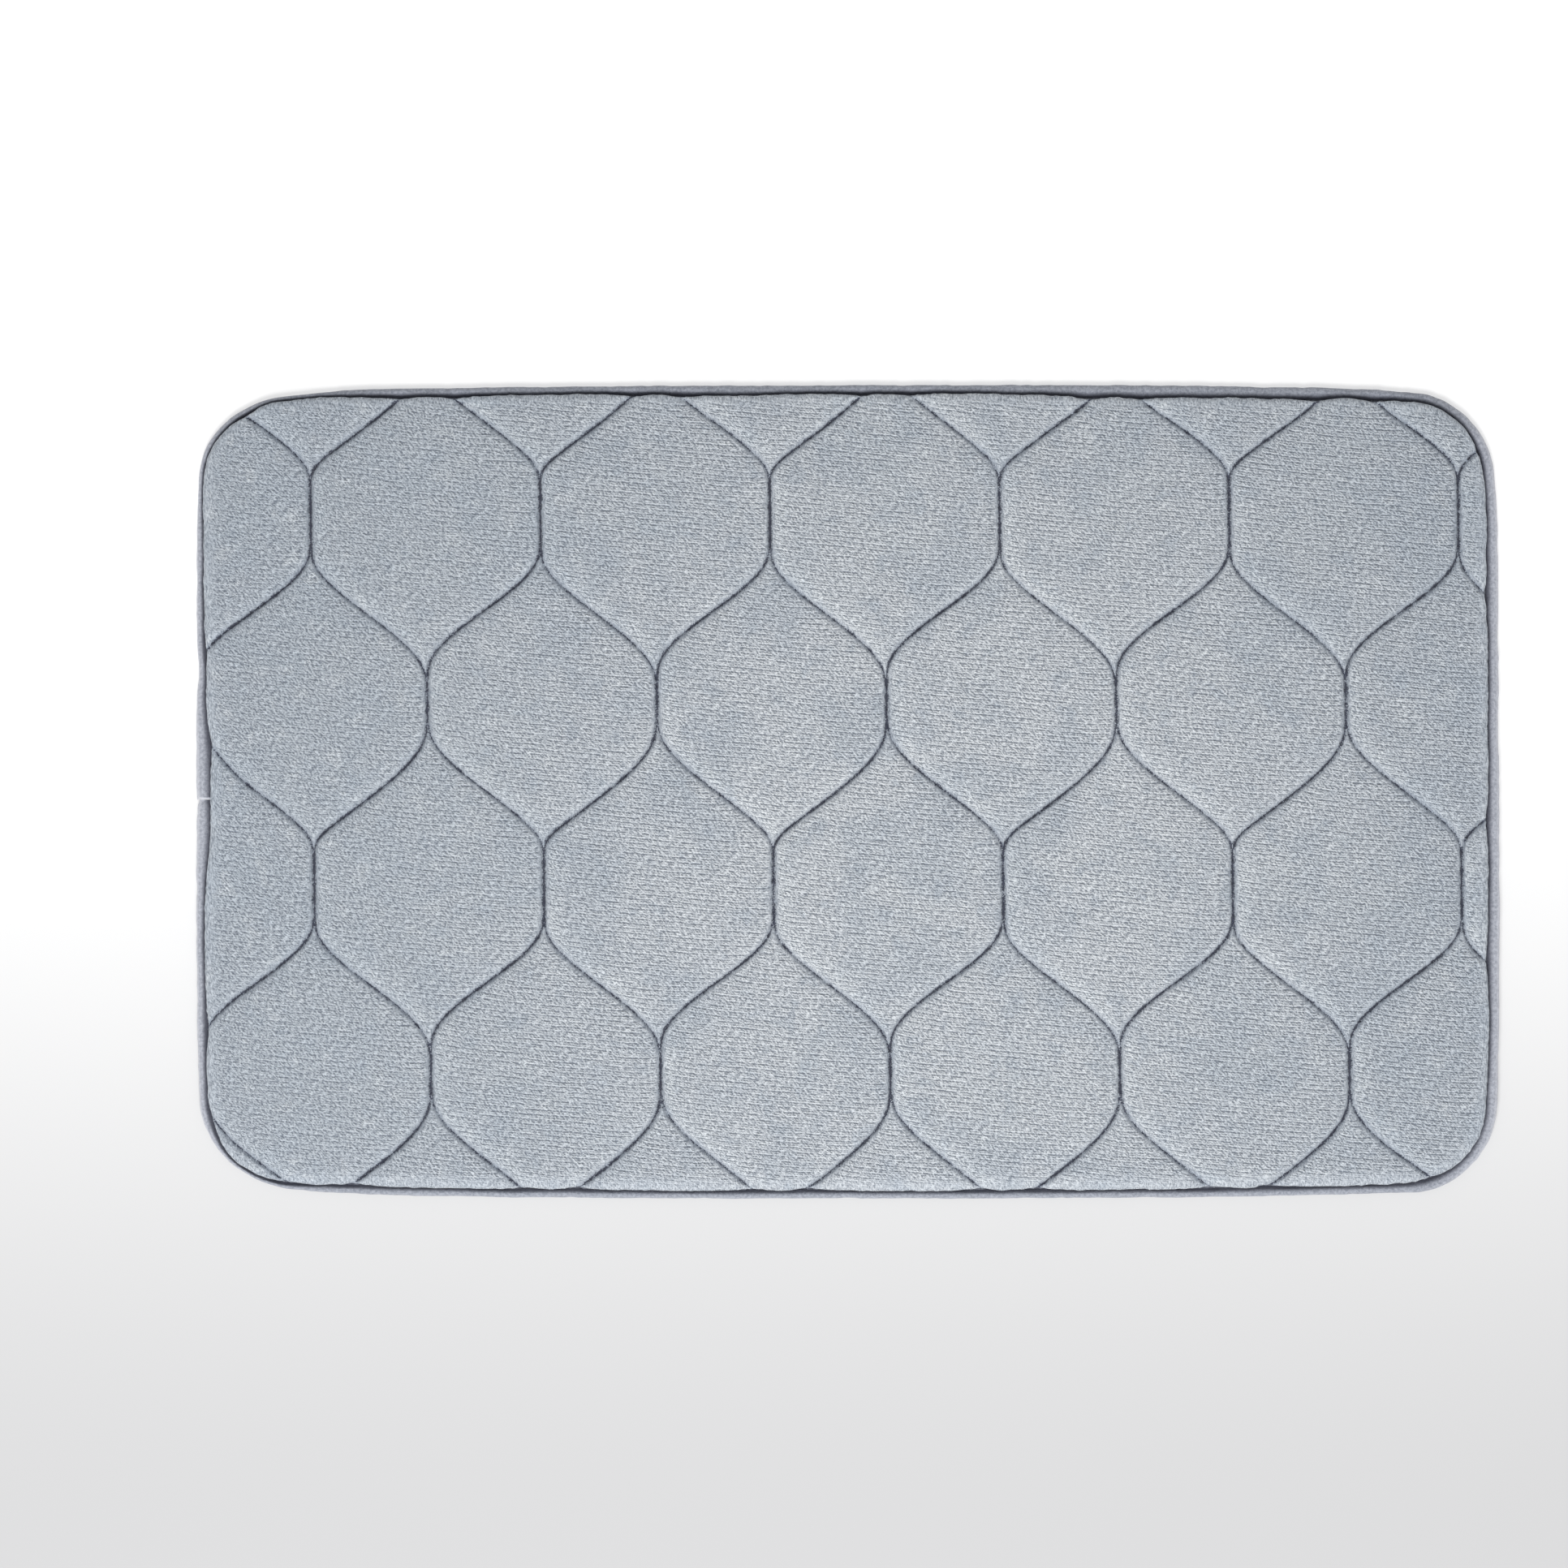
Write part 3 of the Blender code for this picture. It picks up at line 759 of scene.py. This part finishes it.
def foam_material():
    """Open cells, with painted shade inside them and the paler skin between them."""
    made, tree, shader, place = material("memory_foam", 0.9, 0.2)
    cells = add(tree, "ShaderNodeTexVoronoi", {"Vector": place, "Scale": 1100.0},
                feature="F1").outputs["Distance"]
    set_bump(tree, shader, cells, 0.00025, 0.9)
    tone = noise(tree, place, 60.0, 3.0)
    base = mix(tree, ramp(tree, tone, 0.35, 0.65), (0.74, 0.71, 0.62), (0.80, 0.78, 0.71))
    # painted shade inside the open cells
    base = mix(tree, ramp(tree, cells, 0.0, 0.25, 0.5, 0.0), base, (0.52, 0.49, 0.41))
    tree.links.new(base, shader.inputs["Base Color"])
    return made


def backing_material():
    """A knitted polyester ground: fine ribs crossed by finer rows, with painted shade in the low spots
    between them.
    """
    made, tree, shader, place = material("backing_mesh", 0.85, 0.25)
    rib, row = (add(tree, "ShaderNodeTexWave",
                    {"Vector": place, "Scale": scale, "Distortion": 0.6, "Detail": 1.0},
                    wave_type="BANDS", bands_direction=way).outputs["Fac"]
                for scale, way in ((210.0, "X"), (260.0, "Y")))
    knit = maths(tree, "MULTIPLY", rib, row)
    set_bump(tree, shader, knit, 0.00025)
    tone = noise(tree, place, 40.0, 3.0)
    base = mix(tree, ramp(tree, tone, 0.3, 0.7), (0.40, 0.43, 0.47), (0.47, 0.50, 0.54))
    # painted shade in the low spots between ribs and rows
    base = mix(tree, ramp(tree, knit, 0.02, 0.35, 0.6, 0.0), base, (0.20, 0.22, 0.25))
    tree.links.new(base, shader.inputs["Base Color"])
    return made


def grip_material():
    """Pale, slightly glossy rubber."""
    made, tree, shader, place = material("grip_rubber", 0.45, 0.5)
    tone = noise(tree, place, 900.0, 2.0)
    set_bump(tree, shader, tone, 0.00006, 0.6)
    tree.links.new(mix(tree, tone, (0.60, 0.62, 0.64), (0.70, 0.72, 0.73)), shader.inputs["Base Color"])
    return made


def finish_piece(obj, made):
    obj.data.materials.append(made)
    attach(obj, "root")
    return obj


# ---------------------------------------- cover and foam

crown = crown_from(*puffed())

COVER_RINGS = millimetres(1.0, 2.2, 3.2, 4.0, 4.7, 5.3, 5.9, 6.5, 7.1, 7.8, 8.6, 9.6, 10.9, 12.6, 14.8, 17.5,
                          21.0)
LINING_RINGS = millimetres(1.0, 4.0, 7.0, 9.0, 11.0, 13.0, 16.0, 22.0)
# rows of points either side of each quilting line: (offsets, step)
NEAR = ((0.0, 0.0004, -0.0004, 0.0008, -0.0008, 0.0013, -0.0013, 0.0021, -0.0021), 0.0015)
FAR = ((0.0034, -0.0034, 0.0050, -0.0050, 0.0073, -0.0073, 0.0106, -0.0106), 0.0034)
LINING_ROWS = ((0.0, 0.002, -0.002, 0.006, -0.006), 0.004)
FOAM_ROWS = ((0.0, 0.0015, -0.0015, 0.004, -0.004), 0.004)

cover_plan = plan_points(COVER_RINGS, 0.0026, (NEAR, FAR), 0.0046, 0.00035)
lining_plan = plan_points(LINING_RINGS, 0.0026, (LINING_ROWS,), 0.009, 0.0008)
cover = shell("fleece_cover", cover_plan, cover_top, lining_plan, cover_lining)
finish_piece(cover, fleece_material())
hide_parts("top_cover")

FOAM_RINGS = millimetres(9.0, 9.8, 10.6, 11.4, 12.2, 13.0, 14.0, 15.5, 17.5, 20.0)
FOAM_BOTTOM_RINGS = millimetres(9.0, 10.5, 16.0)
foam_plan = plan_points(FOAM_RINGS, 0.0040, (FOAM_ROWS,), 0.009, 0.0008)
foam_bottom_plan = plan_points(FOAM_BOTTOM_RINGS, 0.0040, (), 0.020, 0.0008)
foam = shell("foam_slab", foam_plan, foam_top, foam_bottom_plan, foam_bottom)
finish_piece(foam, foam_material())
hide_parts("foam_core")

# ---------------------------------------- backing with grip dots

BACKING_RINGS = millimetres(3.0, 6.6, 7.0, 7.6, 8.4, 9.6, 14.0)
BACKING_LOW = ((3.0, 1.85), (6.6, 1.80), (7.4, 1.10), (8.6, 0.50), (10.0, 0.45), (12.0, 0.45))
BACKING_HIGH = ((3.0, 2.60), (6.6, 2.60), (7.4, 1.95), (8.6, 1.10), (10.0, 1.00), (12.0, 1.00))


def backing_low(xy):
    place = inset_at(*xy.T)
    height = through(BACKING_LOW, place) + 0.00006 * ripple(*xy.T, 0.03, 21)
    return np.column_stack((xy, height)), {}


def backing_high(xy):
    return np.column_stack((xy, through(BACKING_HIGH, inset_at(*xy.T)))), {}


sheet_plan = plan_points(BACKING_RINGS, 0.0040, (), 0.009, 0.0008)
backing = shell("backing_sheet", sheet_plan, backing_high, sheet_plan, backing_low)
finish_piece(backing, backing_material())
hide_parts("backing")

DOT_PITCH = 0.0105
DOT_MARGIN = 0.0115
DOT_PROFILE = ((0.00185, 0.00060), (0.00170, 0.00016), (0.00095, 0.0))
DOT_SIDES = 8


def grip_dots():
    """Low rubber domes in staggered rows, standing out of the backing."""
    centres = staggered(DOT_PITCH, 0.866)
    centres = centres[inset_at(*centres.T) > DOT_MARGIN]
    angles = np.arange(DOT_SIDES) * 2 * math.pi / DOT_SIDES
    one = [(r * math.cos(a), r * math.sin(a), z) for r, z in DOT_PROFILE for a in angles]
    rings, size = len(DOT_PROFILE), len(one)
    pattern = [list(range(DOT_SIDES))]
    for ring in range(rings - 1):
        for i in range(DOT_SIDES):
            a, b = ring * DOT_SIDES + i, ring * DOT_SIDES + (i + 1) % DOT_SIDES
            pattern.append([b, a, a + DOT_SIDES, b + DOT_SIDES])
    pattern.append([(rings - 1) * DOT_SIDES + i for i in reversed(range(DOT_SIDES))])
    co = np.tile(np.array(one), (len(centres), 1))
    co[:, :2] += np.repeat(centres, size, axis=0)
    faces = [[i + dot * size for i in f] for dot in range(len(centres)) for f in pattern]
    return mesh_object("grip_dots", co, faces)


dots = grip_dots()
finish_piece(dots, grip_material())

# ---------------------------------------- binding

BINDING_STEP = 0.0017
# the strip's section, (inset, height) in millimetres: its face from underneath round to the top, then
# its back
BINDING_OUTER = ((6.40, 0.00), (5.00, 0.00), (3.60, 0.05), (2.60, 0.35), (1.70, 0.95), (0.95, 1.75),
                 (0.40, 2.75), (0.10, 3.85), (0.20, 4.95), (0.65, 6.00), (1.35, 6.80), (2.20, 7.25),
                 (3.05, 7.35), (3.90, 7.10), (4.65, 6.55), (5.30, 5.80), (5.85, 5.15), (6.35, 4.90))
BINDING_INNER = ((6.25, 4.75), (5.40, 5.10), (4.50, 5.75), (3.40, 6.30), (2.50, 6.15), (1.80, 5.40),
                 (1.40, 4.00), (1.65, 2.80), (2.45, 1.75), (3.60, 1.30), (6.30, 1.20))
JOIN_Y = -0.0060        # the lapped end shows here, on the left edge
LAP = 0.0102
LAP_RISE = 0.00020      # how far the upper end stands out
LAP_SINK = 0.00095      # how far the lower end is pushed in
LAP_THINNING = 0.00035
UPPER_EASE = 0.0060     # each end comes back to the usual place over this length
LOWER_EASE = 0.0045
UNDERSIDE = 0.0004      # below this height the strip lies on the floor and can hardly move
BINDING_STITCH = 0.0045
STITCHED_POINTS = 5     # how many points of the section the stitches pull on


def section_normals(profile):
    """Unit vectors out of a section at each of its points."""
    around = np.roll(profile, -1, axis=0) - np.roll(profile, 1, axis=0)
    outward = np.column_stack((-around[:, 1], around[:, 0]))
    outward /= np.linalg.norm(outward, axis=1)[:, None]
    return outward * np.sign(np.sum(outward * (profile - profile.mean(axis=0))))


def binding_strip():
    """One strip folded round the edge, its end lapped over its start on the left edge."""
    profile = np.array(BINDING_OUTER + BINDING_INNER) * MM
    outward = section_normals(profile)
    path = outline(0.0, BINDING_STEP)
    left = np.flatnonzero(path[:, 0] < -LENGTH / 2 + 0.01)
    start = left[np.argmin(np.abs(path[left, 1] - (JOIN_Y + LAP)))]
    count = len(path)
    lap_steps = round(LAP / BINDING_STEP)
    order = (start + np.arange(count + lap_steps + 1)) % count
    along = np.arange(len(order)) * BINDING_STEP
    to_end = along[-1] - along
    over = 1 - smooth(LAP, LAP + UPPER_EASE, to_end)
    under = 1 - smooth(LAP, LAP + LOWER_EASE, along)
    shift = LAP_RISE * over - LAP_SINK * under
    rings = []
    half = len(BINDING_OUTER)
    for k, (inset, height) in enumerate(profile):
        ring = at_inset(path, inset)[order]
        nx, ny = inward(*ring.T)
        lift = shift.copy() if k < half else -shift - LAP_THINNING * over
        if k < half:
            loose = 0.00022 * ripple(along, k * 0.0011, 0.0046, 31)
            lift = lift + loose + 0.00025 * ripple(along, k * 0.0006, 0.017, 32)
            if k >= half - STITCHED_POINTS:
                share = (k - half + STITCHED_POINTS + 1) / (STITCHED_POINTS + 1)
                lift = lift - 0.00018 * np.cos(2 * math.pi * along / BINDING_STITCH) * share
        lift = lift * (0.4 if height < UNDERSIDE else 1.0)
        out_inset, out_height = outward[k]
        move = out_inset * lift
        z = np.maximum(height + out_height * lift, 0.0)
        rings.append(np.column_stack((ring[:, 0] + nx * move, ring[:, 1] + ny * move, z)))
    sections = len(order)
    co = np.stack(rings, axis=1).reshape(-1, 3)
    size = len(profile)
    faces = []
    for s in range(sections - 1):
        for k in range(size):
            a, b = s * size + k, s * size + (k + 1) % size
            faces.append([a, a + size, b + size, b])
    faces.append(list(range(size)))
    faces.append([(sections - 1) * size + k for k in reversed(range(size))])
    # tuck runs from 0 at the outer edge to 1 in the seam and on the back; it sets where the velour gets
    # painted shade and a painted highlight
    tuck = np.concatenate((smooth(0.0, 0.0064, profile[:half, 0]), np.ones(size - half)))
    tuck[profile[:, 1] < 0.003] = 0.4
    tuck = np.tile(tuck, sections)
    tuck[-size:] = -1.0    # the cut end
    # facing, 1 along the two short sides, sets where the velour gets painted light
    nx, _ = inward(*path.T)
    return mesh_object("velour_binding", settle(co), faces,
                       {"tuck": tuck, "facing": np.repeat(np.abs(nx[order]) ** 1.5, size)})


binding = binding_strip()
finish_piece(binding, velour_material())
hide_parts("edge_binding")

# ---------------------------------------- threads

THREAD_SIDES = 6


def tube(name, points, radius, closed=False):
    """A round thread along points, with closed ends unless it is a loop."""
    if closed:
        tangent = np.roll(points, -1, axis=0) - np.roll(points, 1, axis=0)
    else:
        tangent = np.gradient(points, axis=0)
    tangent /= np.linalg.norm(tangent, axis=1)[:, None]
    across = np.cross(tangent, (0.0, 0.0, 1.0))
    across /= np.maximum(np.linalg.norm(across, axis=1), 1e-9)[:, None]
    upward = np.cross(across, tangent)
    angles = np.arange(THREAD_SIDES) * 2 * math.pi / THREAD_SIDES
    co = (points[:, None, :] + radius * (np.cos(angles)[None, :, None] * across[:, None, :]
                                         + np.sin(angles)[None, :, None] * upward[:, None, :]))
    faces = []
    count = len(points)
    for s in range(count if closed else count - 1):
        for k in range(THREAD_SIDES):
            a, b = s * THREAD_SIDES + k, s * THREAD_SIDES + (k + 1) % THREAD_SIDES
            after = ((s + 1) % count - s) * THREAD_SIDES
            faces.append([a, a + after, b + after, b])
    if not closed:
        faces.append(list(range(THREAD_SIDES)))
        faces.append([(count - 1) * THREAD_SIDES + k for k in reversed(range(THREAD_SIDES))])
    return mesh_object(name, co.reshape(-1, 3), faces)


def middle_height(node):
    low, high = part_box(node)
    return (low.z + high.z) / 2


def needle_holes(along, stitch, width):
    """1 at each needle hole and 0 between the holes."""
    from_hole = np.abs(np.mod(along / stitch + 0.5, 1.0) - 0.5) * stitch
    return np.exp(-(from_hole / width) ** 2)


def stitched(run, height, dip, seed):
    """Points along a seam: flat over each stitch and pulled down into the hole at its end."""
    along = np.concatenate(([0], np.cumsum(np.hypot(*np.diff(run, axis=0).T))))
    z = height - dip * needle_holes(along, STITCH, 0.0009)
    sway = 0.00012 * ripple(along, 0.01 * seed, 0.0031, 40 + seed)
    return np.column_stack((run[:, 0] + sway, run[:, 1], z))


dark_thread = thread_material("quilting_thread", (0.030, 0.034, 0.055), (0.060, 0.066, 0.095))
pale_thread = thread_material("bobbin_thread", (0.36, 0.38, 0.42), (0.50, 0.52, 0.56))
GROOVE_FLOOR = TOP - SHOULDER_DEPTH - GROOVE_DEPTH
NEEDLE_HEIGHT = GROOVE_FLOOR + 0.0004
NEEDLE_DIP = 0.0012
NEEDLE_FOLLOW = 0.6     # share of the groove's own rises that the thread follows
BOBBIN_HEIGHT = middle_height("seam_01_bobbin_thread")
BOBBIN_DIP = -0.0004
THREAD_RADIUS = 0.00024
for number, run in enumerate(seam_runs(THREAD_INSET, 0.0006), 1):
    needle = stitched(run, NEEDLE_HEIGHT, NEEDLE_DIP, number)
    groove_z = cover_top(run)[0][:, 2]
    needle[:, 2] += np.maximum(groove_z - GROOVE_FLOOR, 0) * NEEDLE_FOLLOW
    for kind, path, made in (("needle", needle, dark_thread),
                             ("bobbin", stitched(run, BOBBIN_HEIGHT, BOBBIN_DIP, number), pale_thread)):
        thread = tube(f"seam_{number:02d}_{kind}", settle(path), THREAD_RADIUS)
        finish_piece(thread, made)
        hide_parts(f"seam_{number:02d}_{kind}_thread")

BINDING_SEAM_INSET = 0.0066
BINDING_SEAM_STEP = 0.0008
for kind, made, pull in (("needle", dark_thread, -0.0005), ("bobbin", pale_thread, 0.0005)):
    node = f"binding_{kind}_thread"
    loop = ring_at(BINDING_SEAM_INSET, BINDING_SEAM_STEP)
    holes = needle_holes(np.arange(len(loop)) * BINDING_SEAM_STEP, BINDING_STITCH, 0.0007)
    z = middle_height(node) + pull * holes
    thread = tube(f"binding_{kind}", settle(np.column_stack((loop, z))), THREAD_RADIUS, closed=True)
    finish_piece(thread, made)
    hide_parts(node)

# ---------------------------------------- floor, light and camera

FLOOR_SIZE = 8.0
FLOOR_FADE = (-0.48, 0.30)    # painted shade: the floor's colour and glow go from darker to paler between these Y
LIGHT_PLACE = (-0.30, -1.70, 2.70)
LIGHT_SIZE = 1.6
LIGHT_POWER = 99.0
WORLD_STRENGTH = 0.52
CAMERA_PLACE = (-0.0391, 0.0045, 3.0)
VIEW_WIDTH = 0.963            # width of the view at the height of the mat's face
FACE_HEIGHT = 0.004
SENSOR_WIDTH = 36.0


def floor_material():
    """Plain and pale, partly lit from within so that the mat's shadow stays soft. Painted shade makes it
    darker towards -Y.
    """
    made, tree, shader, place = material("floor", 0.9, 0.0)
    fade = ramp(tree, add(tree, "ShaderNodeSeparateXYZ", {0: place}).outputs["Y"], *FLOOR_FADE)
    # painted shade: the colour and the glow are darker towards -Y
    tone = mix(tree, fade, (0.33, 0.33, 0.333), (0.60, 0.60, 0.60))
    glow = mix(tree, fade, (0.27, 0.27, 0.273), (0.50, 0.50, 0.50))
    tree.links.new(tone, shader.inputs["Base Color"])
    tree.links.new(glow, shader.inputs["Emission Color"])
    shader.inputs["Emission Strength"].default_value = 1.0
    return made


bpy.ops.mesh.primitive_plane_add(size=FLOOR_SIZE, location=(0, 0, -0.0002))
floor = bpy.context.object
floor.name = "floor"
floor.data.materials.append(floor_material())

world = bpy.data.worlds.new("studio")
world.use_nodes = True
background = world.node_tree.nodes["Background"]
background.inputs["Color"].default_value = (1.0, 1.0, 1.0, 1.0)
background.inputs["Strength"].default_value = WORLD_STRENGTH
bpy.context.scene.world = world

light_data = bpy.data.lights.new("key", "AREA")
light_data.size = LIGHT_SIZE
light_data.energy = LIGHT_POWER
light = bpy.data.objects.new("key", light_data)
light.location = LIGHT_PLACE
light.rotation_euler = (-Vector(LIGHT_PLACE)).to_track_quat("-Z", "Y").to_euler()
bpy.context.scene.collection.objects.link(light)

camera_data = bpy.data.cameras.new("camera")
camera_data.sensor_width = SENSOR_WIDTH
camera_data.lens = SENSOR_WIDTH * (CAMERA_PLACE[2] - FACE_HEIGHT) / VIEW_WIDTH
camera = bpy.data.objects.new("camera", camera_data)
camera.location = CAMERA_PLACE
bpy.context.scene.collection.objects.link(camera)
bpy.context.scene.camera = camera
bpy.context.scene.view_settings.view_transform = "Standard"
